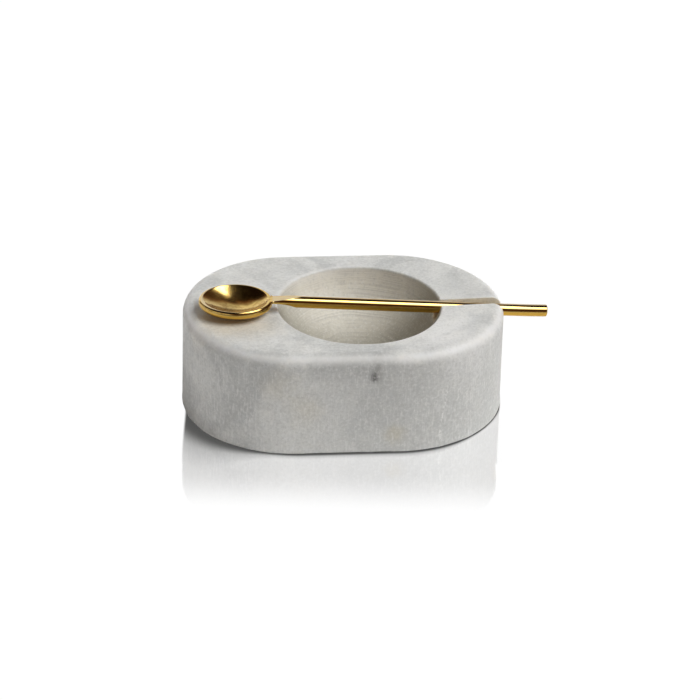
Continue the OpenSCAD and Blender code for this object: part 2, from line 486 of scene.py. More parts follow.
def block_lines(sizes, hollow):
    """The mesh's lines from the hollow out to the wall, and how the groove cuts each of them."""
    # Parallel lines along the groove
    mouth, along, across = groove_frame(sizes)
    rows = groove_rows(sizes)
    offsets = np.array([v for v, _, _ in rows])[:, None] * across
    start = mouth - along * (2 * BLOCK_LENGTH / 3) + offsets
    beyond = mouth + along * BLOCK_LENGTH + offsets
    inner = reach_circle(start, beyond, hollow.centre, hollow.bend)
    outer = reach_inset(inner, mouth + offsets, 0.0, sizes)

    # Lines fanned from the last of these round the rest of the block to the first
    share = (np.arange(1, FAN_LINES) / FAN_LINES)[:, None]

    def fan(ends):
        """Directions spread evenly between the directions of the two ends."""
        first, last = np.arctan2(*ends.T[::-1])
        turn = last + share * (first + 2 * math.pi - last)
        return np.hstack([np.cos(turn), np.sin(turn)])

    fan_in = hollow.centre + hollow.bend * fan(inner[[0, -1]] - hollow.centre)
    far = BLOCK_LENGTH * fan(outer[[0, -1]])
    fan_out = reach_inset(np.zeros_like(far), far, 0.0, sizes)
    floor = np.concatenate([[z for _, z, _ in rows], np.full(FAN_LINES - 1, np.inf)])
    drop = np.concatenate([[d for _, _, d in rows], np.zeros(FAN_LINES - 1)])
    return np.vstack([inner, fan_in]), np.vstack([outer, fan_out]), floor, drop


def add_hollow(columns, hollow, inner, outer):
    """Adds the hollow and the fine edge round it, and returns where that meets the top."""
    for t in HOLLOW_SHARES * hollow.edge_turn:
        radius = hollow.sphere * math.sin(t)
        plan = hollow.centre + columns.aim * radius
        if radius > hollow.bend:
            plan = reach_circle(inner, outer, hollow.centre, radius)
        columns.add(plan, hollow.height - hollow.sphere * math.cos(t), -math.sin(t), math.cos(t))
    for t in np.linspace(math.pi / 2 - hollow.edge_turn, math.pi / 2, HOLLOW_EDGE_STEPS)[1:]:
        radius = hollow.edge_reach - hollow.edge * math.cos(t)
        plan = reach_circle(inner, outer, hollow.centre, radius)
        z = BLOCK_HEIGHT - hollow.edge + hollow.edge * math.sin(t)
        columns.add(plan, z, -math.cos(t), math.sin(t))
    return plan


def add_outside(columns, rim, inner, outer, sizes):
    """Adds the flat top, the soft edge, the wall, the fine edge and the base."""
    soft, fine = sizes.top_edge_radius, sizes.base_edge_radius
    shoulder = reach_inset(inner, outer, soft, sizes)
    for share in np.linspace(0, 1, TOP_STEPS)[1:]:
        columns.add(rim + (shoulder - rim) * share, BLOCK_HEIGHT, 0.0, 1.0)
    for t in quarter_turn(SOFT_EDGE_STEPS)[1:]:
        plan = reach_inset(inner, outer, soft - soft * math.sin(t), sizes)
        columns.add(plan, BLOCK_HEIGHT - soft + soft * math.cos(t), math.sin(t), math.cos(t))
    for share in np.linspace(0, 1, WALL_STEPS)[1:]:
        columns.add(outer, BLOCK_HEIGHT - soft - share * (BLOCK_HEIGHT - soft - fine), 1.0, 0.0)
    for t in quarter_turn(FINE_EDGE_STEPS)[1:]:
        foot = reach_inset(inner, outer, fine - fine * math.cos(t), sizes)
        columns.add(foot, fine - fine * math.sin(t), math.cos(t), -math.sin(t))
    for share in np.linspace(0, 1, BASE_STEPS)[1:]:
        columns.add(foot * (1 - share), 0.0, 0.0, -1.0)


def block_grid(sizes):
    """Points of the marble block: one row for each line from the hollow out to the wall."""
    hollow = Hollow(sizes)
    inner, outer, floor, drop = block_lines(sizes, hollow)
    columns = Columns((inner - hollow.centre) / hollow.bend)
    rim = add_hollow(columns, hollow, inner, outer)
    add_outside(columns, rim, inner, outer, sizes)
    grid = np.stack(columns.points, 1)
    normals = np.stack(columns.normals, 1)
    roughen(grid, normals, sizes)
    # The groove is cut last: its edges drop away, and then nothing stands above its floor
    cut = np.clip((grid[:, :, 2] - BLOCK_HEIGHT + sizes.groove_depth / 2) / MILLIMETRE, 0, 1)
    grid -= normals * (drop[:, None] * cut)[:, :, None]
    grid[:, :, 2] = np.minimum(grid[:, :, 2], floor[:, None])
    return grid


def roughen(grid, normals, sizes):
    """Moves the ground walls a little inwards, and wears the base edge up in places."""
    waves = noise_at(grid.reshape(-1, 3), WALL_WAVES).reshape(grid.shape[:2])
    wall = np.clip(np.abs(normals[:, :, :2]).sum(2), 0.15, 1.0)
    inwards = sizes.unevenness * (0.5 + 0.5 * waves) * wall
    inwards *= smoothstep(0.0, 2 * MILLIMETRE, grid[:, :, 2])
    grid -= normals * inwards[:, :, None]
    around = grid * np.array([1.0, 1.0, 0.0])
    wear = noise_at(around.reshape(-1, 3), BASE_WEAR).reshape(grid.shape[:2])
    near_base = smoothstep(3 * MILLIMETRE, 0.0, grid[:, :, 2]) * (grid[:, :, 2] > 0)
    grid[:, :, 2] += sizes.base_chipping * np.clip(wear + 0.2, 0, 1) * near_base


class SpoonLine:
    """Places the spoon: x runs along it from the block's end, y across it and z up."""

    def __init__(self, block, spoon):
        self.turn = block.groove_turn
        self.mouth = np.array([BLOCK_LENGTH / 2, block.groove_back, 0.0])
        scoop_middle = (np.array(SCOOP_LOW) + np.array(SCOOP_HIGH)) / 2
        self.scoop = -math.dist(scoop_middle[:2], self.mouth[:2])
        self.neck = self.scoop + spoon.scoop_length / 2
        self.rim_top = SCOOP_HIGH.z
        self.radius = spoon.handle_diameter / 2
        self.seat = BLOCK_HEIGHT - block.groove_depth + self.radius + spoon.rest_gap
        fall = self.rim_top - spoon.tongue_thickness - spoon.tongue_rise - self.seat
        self.pitch = math.atan(fall / -self.neck)
        self.scoop_place = np.array([self.scoop - spoon.scoop_left, spoon.scoop_back, 0.0])
        self.tilt = math.tan(spoon.scoop_tilt)
        self.scoop_drop = self.tilt * spoon.scoop_length / 2
        self.scoop_height = self.rim_top - self.scoop_drop - SCOOP_LOW.z

    def axis_height(self, x):
        """Height of the handle's axis at a place along the spoon's line."""
        return self.seat - x * math.tan(self.pitch)

    def on_scoop(self, points):
        """Sets the spoon's bowl down in its place, a little askew."""
        placed = points + self.scoop_place
        placed[..., 2] += self.rim_top - self.scoop_drop - self.tilt * points[..., 0]
        placed[..., 2] = np.maximum(placed[..., 2], SCOOP_LOW.z)
        return placed

    def place(self, points):
        """Points along the spoon's line, as points of the row frame."""
        c, s = math.cos(self.turn), math.sin(self.turn)
        turned = np.array([[c, -s, 0.0], [s, c, 0.0], [0.0, 0.0, 1.0]])
        return points @ turned.T + self.mouth


def scoop_section(turn, line, sizes):
    """The spoon's bowl on one side of its middle, from its deepest point out and under it."""
    aim = np.array([math.cos(turn), math.sin(turn)])
    half = np.array([sizes.scoop_length, sizes.scoop_width]) / 2
    outer = half * aim
    inner = (half - np.array([sizes.rim_width, sizes.rim_side_width])) * aim
    out = aim / half / np.linalg.norm(aim / half)
    deepest = np.array([sizes.scoop_skew, 0.0])
    hollow = line.scoop_height - sizes.scoop_wall
    points = []

    def add(place, z):
        """One point at a place seen from above, at height z."""
        points.append((*place, z))

    for share in np.linspace(0, INSIDE_SHARE, INSIDE_STEPS):
        add(deepest + (inner - deepest) * share, -hollow * (1 - share**2))
    start = np.array(points[-1])
    corner = np.array([*inner, 0.0])
    finish = np.array([*(inner + out * INNER_LIP), 0.0])
    for share in LIP_SHARES:
        near = (1 - share) ** 2 * start + 2 * share * (1 - share) * corner
        points.append(tuple(near + share**2 * finish))
    lip = sizes.rim_edge_radius
    face = max((outer - inner) @ out - INNER_LIP - lip - RIM_BURR, 0.0)
    fall = face * math.tan(RIM_FALL)
    add(outer - out * (lip + RIM_BURR), -fall)
    fall -= RIM_BURR * math.tan(RIM_FALL)
    drop = sizes.rim_height - fall
    for t in quarter_turn(RIM_STEPS):
        add(outer - out * (lip - lip * math.sin(t)), -fall - drop + drop * math.cos(t))
    under = line.scoop_height - sizes.rim_height
    for t in quarter_turn(UNDER_STEPS, UNDER_START):
        reach, depth = math.cos(t), math.sin(t) ** UNDER_FULLNESS
        skewed = outer * reach + deepest * UNDER_SKEW * (1 - reach)
        add(skewed, -sizes.rim_height - under * depth)
    return points


def build_scoop(line, sizes):
    """The spoon's oval bowl, with the shallow dents of a cast piece."""
    turns = np.arange(SCOOP_SIDES) * 2 * math.pi / SCOOP_SIDES
    grid = np.array([scoop_section(t, line, sizes) for t in turns])
    dents = noise_at(grid.reshape(-1, 3), CAST_DENTS).reshape(grid.shape[:2])
    fade = smoothstep(1.0, 0.8, np.linspace(0, 1, INSIDE_STEPS))
    grid[:, :INSIDE_STEPS, 2] += sizes.dents * dents[:, :INSIDE_STEPS] * fade
    around = np.column_stack([np.cos(turns), np.sin(turns), 0 * turns]) * sizes.scoop_length / 2
    waves = sizes.dents * (noise_at(around, RIM_WAVES) - 1)
    rim_foot = -sizes.rim_height
    near_rim = smoothstep(rim_foot - MILLIMETRE, rim_foot, grid[0, :, 2])
    near_rim[:INSIDE_STEPS] = 0.0
    grid[:, :, :2] *= (1 + waves[:, None] * near_rim / (sizes.scoop_length / 2))[:, :, None]
    return grid_mesh("spoon_scoop_shell", line.place(line.on_scoop(grid)), sharp_angle=50.0)


def neck_heights(s, root, line, sizes):
    """Heights of the neck's top facet and underside over the handle's axis."""
    top = (line.rim_top - sizes.neck_drop - line.axis_height(line.neck)) / math.cos(line.pitch)
    high = top + (s - root) / sizes.facet_length * (line.radius - top)
    swell = np.clip((s - root) / sizes.neck_length, 0.0, 1.05) ** NECK_SWELL
    low = top - sizes.tongue_thickness
    return high, low - (line.radius + low) * swell


def handle_ring(high, low, radius):
    """Section of the handle: a circle cut off by a flat top and a flat underside."""
    top = max(LEAST_FLAT, math.acos(min(high / radius, 1.0)))
    under = max(LEAST_FLAT, math.acos(min(-low / radius, 1.0)))
    up, down = math.pi / 2, 3 * math.pi / 2
    turns = np.concatenate([
        np.linspace(up - top, up + top, FLAT_STEPS, endpoint=False),
        np.linspace(up + top, down - under, SIDE_STEPS, endpoint=False),
        np.linspace(down - under, down + under, FLAT_STEPS, endpoint=False),
        np.linspace(down + under, up + 2 * math.pi - top, SIDE_STEPS, endpoint=False),
    ])
    return radius * np.cos(turns), np.clip(radius * np.sin(turns), low, high)


def build_handle(line, sizes):
    """The handle: a drawn rod with a flattened neck and a square-cut, bevelled end."""
    root = line.neck / math.cos(line.pitch)
    end = sizes.handle_overhang
    bevel = sizes.handle_bevel
    neck_end = root + FINE_NECK_SHARE * sizes.neck_length
    stations = np.concatenate([
        np.linspace(root - TONGUE_OVERLAP, neck_end, NECK_STEPS, endpoint=False),
        np.linspace(neck_end, end - bevel, ROD_STEPS),
    ])
    rings = []
    for s, high, low in zip(stations, *neck_heights(stations, root, line, sizes)):
        y, h = handle_ring(high, low, line.radius)
        rings.append(np.column_stack([np.full(len(y), s), y, h]))
    shrink = 1 - bevel / line.radius
    last = rings[-1]
    for share, step in (
        (0.5 + shrink / 2, bevel * 0.7),
        (shrink, bevel),
        (shrink * 0.5, bevel),
        (0, bevel),
    ):
        rings.append(last * np.array([1.0, share, share]) + np.array([step, 0.0, 0.0]))
    first = rings[0]
    middle = np.array([0.0, 0.0, first[:, 2].mean()])
    rings.insert(0, first * np.array([1.0, 0.0, 0.0]) + middle)
    grid = np.stack(rings, 1)
    grid[:, :, 2] += sizes.end_lift * (np.clip(grid[:, :, 0], 0.0, None) / end) ** 2
    c, s = math.cos(line.pitch), math.sin(line.pitch)
    tilted = np.empty_like(grid)
    tilted[:, :, 0] = grid[:, :, 0] * c + grid[:, :, 2] * s
    tilted[:, :, 1] = grid[:, :, 1]
    tilted[:, :, 2] = line.seat - grid[:, :, 0] * s + grid[:, :, 2] * c
    return grid_mesh("spoon_handle_rod", line.place(tilted), sharp_angle=30.0)


def web_outline(line, sizes):
    """The filler metal from above: two hollow curves between the tongue's sides and the rim."""
    reach = sizes.scoop_length / 2
    rim_radius = (sizes.scoop_width / 2) ** 2 / reach
    rim_centre = line.scoop - sizes.scoop_left + reach - rim_radius
    half = WEB_SHARE * line.radius
    web = sizes.web_radius
    sides = []
    for side in (-1, 1):
        gap = half + web - side * sizes.scoop_back
        ahead = math.sqrt((rim_radius + web) ** 2 - gap**2)
        corner = np.array([rim_centre + ahead, half + web])
        turns = np.linspace(math.atan2(-gap, -ahead), -math.pi / 2, WEB_STEPS)
        curve = corner + web * np.column_stack([np.cos(turns), np.sin(turns)])
        sides.append(curve * np.array([1.0, side]))
    return np.vstack([sides[0], sides[1][::-1]])


def build_web(line, sizes):
    """The filler metal: a small web in the corners between the tongue and the rim."""
    middle = np.array([line.neck - sizes.scoop_left - WEB_OVERLAP, 0.3 * sizes.scoop_back])
    top = line.rim_top - sizes.neck_drop - WEB_DROP
    low = top - sizes.tongue_thickness - WEB_UNDERLAP
    rows = []
    for point in web_outline(line, sizes):
        halfway = (point + middle) / 2
        outwards = (point - middle) / np.linalg.norm(point - middle)
        rows.append([
            (*middle, top),
            (*halfway, top),
            (*(point - outwards * WEB_ROUNDING), top),
            (*(point - outwards * WEB_ROUNDING * 0.3), top - WEB_ROUNDING * 0.3),
            (*point, top - WEB_ROUNDING),
            (*point, (top + low) / 2 + WEB_ROUNDING),
            (*(point - outwards * WEB_ROUNDING), low + 2 * WEB_ROUNDING),
            (*halfway, low),
            (*middle, low),
        ])
    return grid_mesh("braze_web", line.place(np.array(rows)), sharp_angle=60.0)


def rgb(value):
    """A colour property as a plain tuple."""
    return tuple(value)


class Nodes:
    """Adds shader nodes to a tree and joins them."""

    def __init__(self, tree):
        self.tree = tree
        tree.nodes.clear()

    def add(self, kind, inputs=None, output=0, **settings):
        """A new node; inputs holds values or sockets by name or number."""
        made = self.tree.nodes.new(kind)
        for name, value in settings.items():
            setattr(made, name, value)
        for name, value in (inputs or {}).items():
            if isinstance(value, bpy.types.NodeSocket):
                self.tree.links.new(value, made.inputs[name])
            else:
                made.inputs[name].default_value = value
        return made.outputs[output] if made.outputs else made

    def split(self, vector):
        """The three parts of a vector."""
        parts = self.tree.nodes.new("ShaderNodeSeparateXYZ")
        self.tree.links.new(vector, parts.inputs[0])
        return parts.outputs

    def millimetres(self):
        """The point's place in the row frame, in millimetres."""
        place = self.add("ShaderNodeTexCoord", output=3)
        inputs = {0: place, "Scale": 1 / MILLIMETRE}
        return self.add("ShaderNodeVectorMath", inputs, operation="SCALE")

    def facing_up(self):
        """How far the surface faces up, from -1 to 1."""
        return self.split(self.add("ShaderNodeTexCoord", output=1))[2]

    def turned(self, vector, centre, turn):
        """A vector turned about an upright axis."""
        inputs = {"Vector": vector, "Center": centre, "Axis": UP, "Angle": turn}
        return self.add("ShaderNodeVectorRotate", inputs)

    def maths(self, operation, a, b=0.0):
        """One step of arithmetic on two numbers, or on one."""
        return self.add("ShaderNodeMath", {0: a, 1: b}, operation=operation)

    def chain(self, operation, parts):
        """The same step of arithmetic over all the parts, from the first to the last."""
        total = parts[0]
        for part in parts[1:]:
            total = self.maths(operation, total, part)
        return total

    def times(self, *parts):
        """The product of the parts."""
        return self.chain("MULTIPLY", parts)

    def plus(self, *parts):
        """The sum of the parts."""
        return self.chain("ADD", parts)

    def less(self, a, b):
        """The first number less the second."""
        return self.maths("SUBTRACT", a, b)

    def vector(self, operation, a, b=(0.0, 0.0, 0.0), output=0):
        """One step of arithmetic on two vectors, or on one."""
        return self.add("ShaderNodeVectorMath", {0: a, 1: b}, output=output, operation=operation)

    def dot(self, vector, direction):
        """How far a vector reaches along a direction."""
        return self.vector("DOT_PRODUCT", vector, tuple(direction), output=1)

    def spread(self, value, low, high, to_low=0.0, to_high=1.0):
        """Maps low..high smoothly to to_low..to_high."""
        inputs = {0: value, 1: low, 2: high, 3: to_low, 4: to_high}
        return self.add("ShaderNodeMapRange", inputs, interpolation_type="SMOOTHSTEP")

    def noise(self, where, scale, detail, roughness=0.5, distortion=0.0):
        """Noise from 0 to 1."""
        inputs = {
            "Vector": where,
            "Scale": scale,
            "Detail": detail,
            "Roughness": roughness,
            "Distortion": distortion,
        }
        return self.add("ShaderNodeTexNoise", inputs)

    def mix(self, factor, a, b):
        """A mix of two colours."""
        a, b = ((*c, 1.0) if isinstance(c, tuple) else c for c in (a, b))
        return self.add("ShaderNodeMix", {0: factor, 6: a, 7: b}, output=2, data_type="RGBA")

    def tint(self, base, tone, *shares):
        """The base colour with a tone mixed in, by the product of the shares."""
        return self.mix(self.times(*shares), base, rgb(tone))

    def patch(self, where, centre, size, ragged):
        """1 at centre, falling to 0 at size from it, with a ragged border; in millimetres."""
        distance = self.vector("LENGTH", self.vector("SUBTRACT", where, centre), output=1)
        return self.spread(self.plus(distance, ragged), size, 0.0)

    def vein(self, where, wander, normal, offset, width):
        """1 on a warped plane through the stone, falling to 0 at width; in millimetres."""
        side = self.dot(where, Vector(normal).normalized())
        distance = self.less(self.plus(side, wander), offset)
        return self.spread(self.maths("ABSOLUTE", distance), width, 0.0)

    def principled(self, inputs, relief, distance, strength):
        """Ends the material in a Principled shader with a relief."""
        bump_inputs = {"Height": relief, "Distance": distance, "Strength": strength}
        bump = self.add("ShaderNodeBump", bump_inputs)
        shader = self.add("ShaderNodeBsdfPrincipled", {**inputs, "Normal": bump})
        self.add("ShaderNodeOutputMaterial", {"Surface": shader})


def new_material(name):
    """An empty node material and its node adder."""
    material = bpy.data.materials.new(name)
    material.use_nodes = True
    return material, Nodes(material.node_tree)


class Stone:
    """Places and noises that the marble's layers share. Lengths are in millimetres."""

    def __init__(self, nodes, sizes):
        self.where = nodes.millimetres()
        self.x, _, self.height = nodes.split(self.where)
        hollow = (sizes.hollow_shift / MILLIMETRE, -sizes.hollow_forward / MILLIMETRE, 0.0)
        from_hollow = nodes.vector("SUBTRACT", self.where, hollow)
        self.flat = nodes.vector("MULTIPLY", from_hollow, (1.0, 1.0, 0.0))
        self.reach = nodes.vector("LENGTH", self.flat, output=1)
        self.rim = sizes.hollow_diameter / 2 / MILLIMETRE
        # The stone was ground out for the salt inside the hollow's circle and below the top
        inside = nodes.spread(self.reach, self.rim + 0.5, self.rim - 0.3)
        self.ground = nodes.times(inside, nodes.spread(self.height, TOP, TOP - 1.2))
        self.on_wall = nodes.spread(self.height, TOP - 1.5, TOP - 5.0)
        self.mottle = nodes.noise(self.where, *MOTTLE)
        self.grain = nodes.noise(self.where, *GRAIN)
        self.strokes = nodes.noise(nodes.vector("MULTIPLY", self.where, STROKE_STRETCH), *STROKES)
        self.wander = nodes.times(nodes.less(nodes.noise(self.where, *WARP), 0.5), WANDER)
        self.ragged = nodes.times(nodes.less(self.mottle, 0.5), RAGGEDNESS)


def cloud_layer(nodes, stone, finish):
    """The light ground with its grey clouds, mottling and speckle, and painted shade on the walls."""
    clouds = nodes.spread(nodes.noise(stone.where, *CLOUDS), 0.42, 0.66)
    speckle = nodes.noise(stone.where, *SPECKLE)
    base = nodes.mix(clouds, rgb(finish.marble_light), rgb(finish.grey_clouds_and_shade))
    base = nodes.tint(base, finish.grey_clouds_and_shade, nodes.spread(stone.mottle, 0.3, 0.75, 0.0, 0.45))
    base = nodes.tint(base, finish.grey_clouds_and_shade, nodes.spread(speckle, 0.42, 0.65, 0.0, 0.22))
    base = nodes.tint(base, finish.crystal_and_highlight, nodes.spread(speckle, 0.5, 0.32, 0.0, 0.18))
    # Painted shade: the walls are greyer than the top, and most of all towards the right
    painted_wall_shade = nodes.spread(stone.x, -40.0, 20.0, 0.1, 0.75)
    return nodes.tint(base, finish.grey_clouds_and_shade, stone.on_wall, painted_wall_shade)


def patch_layer(nodes, stone, finish, base):
    """Soft clouds and warm tints, a painted warm reflection of the brass under the spoon's bowl, a
    faint vein, and the dark spots at the front.
    """
    for tone, patches in (
        (finish.grey_clouds_and_shade, GREY_PATCHES),
        (finish.marble_stain, STAIN_PATCHES),
        (finish.crystal_and_highlight, PALE_PATCHES),
        # Painted reflection of the brass under the spoon's bowl
        (finish.painted_brass_glow, BRASS_REFLECTION_PATCHES),
    ):
        for centre, size, strength in patches:
            patch = nodes.patch(stone.where, centre, size, stone.ragged)
            base = nodes.tint(base, tone, patch, strength)
    vein = nodes.vein(stone.where, stone.wander, *FAINT_VEIN)
    broken = nodes.spread(stone.mottle, 0.35, 0.7, 0.0, 0.55)
    base = nodes.tint(base, finish.grey_clouds_and_shade, vein, broken)
    less_ragged = nodes.times(stone.ragged, 0.6)
    for centre, size, strength in DARK_SPOTS:
        spot = nodes.patch(stone.where, centre, size, less_ragged)
        base = nodes.tint(base, finish.marble_vein, spot, strength)
    return base


def hollow_layer(nodes, stone, finish, base):
    """The rougher stone of the hollow, with painted light that makes it lighter at its back."""
    base = nodes.tint(base, finish.marble_ground, stone.ground, 0.81)
    painted_light_at_back = nodes.spread(nodes.split(stone.flat)[1], 3.0, 23.0, 0.0, 0.8)
    return nodes.tint(base, finish.painted_hollow_light, painted_light_at_back, stone.ground)


def painted_groove_reflection(nodes, stone, finish, sizes, base):
    """Painted reflection: the warm tone that the brass throws on the groove's walls beside it."""
    mouth = (HALF_LENGTH, sizes.groove_back / MILLIMETRE, 0.0)
    across = nodes.split(nodes.turned(stone.where, mouth, -sizes.groove_turn))[1]
    beside = nodes.spread(nodes.maths("ABSOLUTE", across), 3.0, 2.2)
    floor = TOP - sizes.groove_depth / MILLIMETRE
    below_top = nodes.spread(stone.height, TOP, TOP - 0.5)
    above_floor = nodes.spread(stone.height, floor - 0.8, floor + 0.2)
    at_right = nodes.spread(stone.x, 25.0, 31.0)
    return nodes.tint(base, finish.painted_brass_glow, beside, below_top, above_floor, at_right, 0.85)


def crystal_layer(nodes, stone, finish, base):
    """Fine crystals, drawn out into upright strokes on the walls, and most of all at the left."""
    at_left = nodes.patch(stone.where, *STROKE_PATCH, stone.ragged)
    stroke_share = nodes.plus(nodes.times(at_left, 0.35), 0.28)
    light_strokes = nodes.spread(stone.strokes, 0.5, 0.68)
    base = nodes.tint(base, finish.crystal_and_highlight, light_strokes, stroke_share, stone.on_wall)
    base = nodes.tint(base, finish.grain_dark, nodes.spread(stone.grain, 0.3, 0.5, 0.32, 0.0))
    light_grain = nodes.spread(stone.grain, 0.5, 0.7, 0.0, 0.38)
    less_in_hollow = nodes.spread(stone.ground, 0.0, 1.0, 1.0, 0.3)
    base = nodes.tint(base, finish.crystal_and_highlight, light_grain, less_in_hollow)
    vein = nodes.vein(stone.where, nodes.times(stone.wander, 0.25), *BRIGHT_VEIN)
    grainy = nodes.spread(stone.grain, 0.4, 0.6, 0.0, 0.5)
    return nodes.tint(base, finish.crystal_and_highlight, vein, grainy, nodes.spread(stone.height, 28.0, 20.0))


def painted_edge_highlights(nodes, stone, finish, base):
    """Painted highlights on the soft edge round the top and on the hollow's rim at its back."""
    facing = nodes.facing_up()
    highlight_on_edge = nodes.times(nodes.spread(facing, 1.0, 0.75), nodes.spread(facing, 0.0, 0.7))
    high_up = nodes.spread(stone.height, TOP - 5.0, TOP - 1.0)
    outside = nodes.spread(stone.reach, stone.rim + 0.5, stone.rim + 1.5)
    base = nodes.tint(base, finish.crystal_and_highlight, highlight_on_edge, high_up, outside, 0.6)
    from_rim = nodes.maths("ABSOLUTE", nodes.less(stone.reach, stone.rim + 0.3))
    back_left = nodes.spread(nodes.dot(stone.flat, (-0.75, 0.66, 0.0)), 5.0, 22.0)
    return nodes.tint(base, finish.crystal_and_highlight, nodes.spread(from_rim, 1.6, 0.2), back_left, 0.35)


def grinding_arcs(nodes, stone):
    """Arcs that the grinding tool left in the hollow, each at nearly one height."""
    wobble = nodes.times(nodes.noise(stone.where, *RING_WOBBLE), 2.0)
    height = nodes.times(nodes.plus(stone.height, wobble), 1.5)
    rings = nodes.noise(nodes.add("ShaderNodeCombineXYZ", {0: height}), *RING_PITCH)
    patchy = nodes.spread(nodes.noise(stone.where, *RING_PATCHES), 0.35, 0.65, 0.2, 1.0)
    return nodes.times(nodes.spread(rings, 0.4, 0.65), stone.ground, patchy)


def marble_material(finish, sizes):
    """Honed white marble: soft grey clouds, a few veins and spots, and fine crystals."""
    material, nodes = new_material("honed_marble")
    stone = Stone(nodes, sizes)
    base = cloud_layer(nodes, stone, finish)
    base = patch_layer(nodes, stone, finish, base)
    base = hollow_layer(nodes, stone, finish, base)
    # Painted reflection of the brass on the groove's walls
    base = painted_groove_reflection(nodes, stone, finish, sizes, base)
    base = crystal_layer(nodes, stone, finish, base)
    # Painted highlights on the top's soft edge and the hollow's back rim
    base = painted_edge_highlights(nodes, stone, finish, base)
    arcs = grinding_arcs(nodes, stone)
    base = nodes.tint(base, finish.ring_shadow, arcs, 0.42)
    crystals = nodes.plus(nodes.times(stone.grain, 0.6), nodes.times(stone.strokes, 0.3))
    relief = nodes.plus(crystals, nodes.times(arcs, 0.5))
    polish = nodes.spread(stone.mottle, 0.3, 0.7, 0.40, 0.52)
    inputs = {
        "Base Color": base,
        "Roughness": nodes.plus(polish, nodes.times(stone.ground, 0.15)),
        "IOR": 1.5,
        "Specular IOR Level": 0.45,
        "Subsurface Weight": 0.25,
        "Subsurface Radius": (1.0, 0.9, 0.75),
        "Subsurface Scale": LIGHT_DEPTH,
    }
    nodes.principled(inputs, relief, distance=STONE_RELIEF, strength=0.8)
    return material


def brass_material(name, finish, tone, roughness, line, streaks):
    """Polished brass with painted reflection tones, paler on top and deeper below; the spoon's inside
    is buffed less.
    """
    material, nodes = new_material(name)
    place = nodes.add("ShaderNodeTexCoord", output=3)
    where = nodes.add("ShaderNodeMapping", {
        "Vector": place,
        "Rotation": (0.0, -line.pitch, -line.turn),
        "Scale": (1 / MILLIMETRE,) * 3,
    })
    facing = nodes.facing_up()
    x, _, height = nodes.split(place)
    smudges = nodes.noise(where, *SMUDGES)
    specks = nodes.noise(where, *SPECKS)
    drawn = nodes.noise(nodes.vector("MULTIPLY", where, streaks), *DRAWN_LINES)

    # Inside the spoon's bowl the finish is duller and mottled
    rim_top, neck, border = SCOOP_HIGH.z, SCOOP_HIGH.x, 0.5 * MILLIMETRE
    below_rim = nodes.spread(height, rim_top - 0.1 * MILLIMETRE, rim_top - 0.4 * MILLIMETRE)
    on_bowl = nodes.spread(x, neck + border, neck - border)
    inside = nodes.times(nodes.spread(facing, 0.05, 0.3), below_rim, on_bowl)
    # Painted reflection tones: deeper brass on faces turned down, paler on faces turned up
    base = nodes.mix(nodes.spread(facing, -0.2, 0.4), rgb(finish.brass_painted_under), tone)
    painted_top_share = nodes.spread(facing, 0.8, 0.97)
    base = nodes.tint(base, finish.brass_painted_top, painted_top_share, nodes.less(1.0, inside))
    smudged = nodes.times(
        nodes.spread(smudges, 0.45, 0.7), nodes.plus(nodes.times(inside, 0.6), 0.1)
    )
    dull = nodes.plus(smudged, nodes.spread(specks, 0.62, 0.75, 0.0, 0.15))
    base = nodes.tint(base, finish.brass_worn, dull)
    fine = nodes.plus(nodes.times(drawn, 0.7), nodes.times(specks, 0.3))
    relief = nodes.plus(fine, nodes.times(smudges, inside, 6.0))
    inputs = {
        "Base Color": base,
        "Metallic": 1.0,
        "Roughness": nodes.plus(nodes.times(dull, 0.15), nodes.times(inside, 0.1), roughness),
    }
    nodes.principled(inputs, relief, distance=BRASS_RELIEF, strength=1.0)
    return material


def outline_reach(nodes, where):
    """How far a point of the floor lies outside the block, in millimetres."""
    x, y, _ = nodes.split(where)
    past_straight = nodes.less(nodes.maths("ABSOLUTE", x), HALF_LENGTH - HALF_DEPTH)
    along = nodes.maths("MAXIMUM", past_straight, 0.0)
    both = nodes.plus(nodes.times(along, along), nodes.times(y, y))
    return nodes.less(nodes.maths("SQRT", both), HALF_DEPTH)


def mirror_part(nodes, across, ahead, beside):
    """How much of the floor's look is the block's mirror image."""
    near = nodes.spread(nodes.maths("ABSOLUTE", ahead), 78.0, 50.0, 0.0, 0.47)
    # It leaves out the corner at the right where the handle's end would show
    at_end = nodes.times(nodes.spread(across, 51.0, 51.8), nodes.spread(ahead, -41.0, -44.0))
    # The gloss shows at a low angle and not from above
    facing = nodes.add("ShaderNodeLayerWeight", {"Blend": 0.5}, output=1)
    low_angle = nodes.spread(facing, 0.05, 0.45)
    return nodes.times(near, beside, nodes.less(1.0, at_end), low_angle)


def contact_shadow(nodes, across, reach, beside):
    """The shadow close to the block's base, which is widest at the left."""
    width = nodes.spread(across, -20.0, -52.0, 4.0, 24.0)
    width = nodes.times(width, nodes.spread(across, 50.0, 30.0, 0.25, 1.0))
    away = nodes.maths("DIVIDE", reach, width)
    core = nodes.spread(away, 0.12, 0.45, 0.45, 0.0)
    penumbra = nodes.spread(away, 0.0, 1.0, 0.5, 0.0)
    return nodes.times(nodes.plus(core, penumbra), beside)


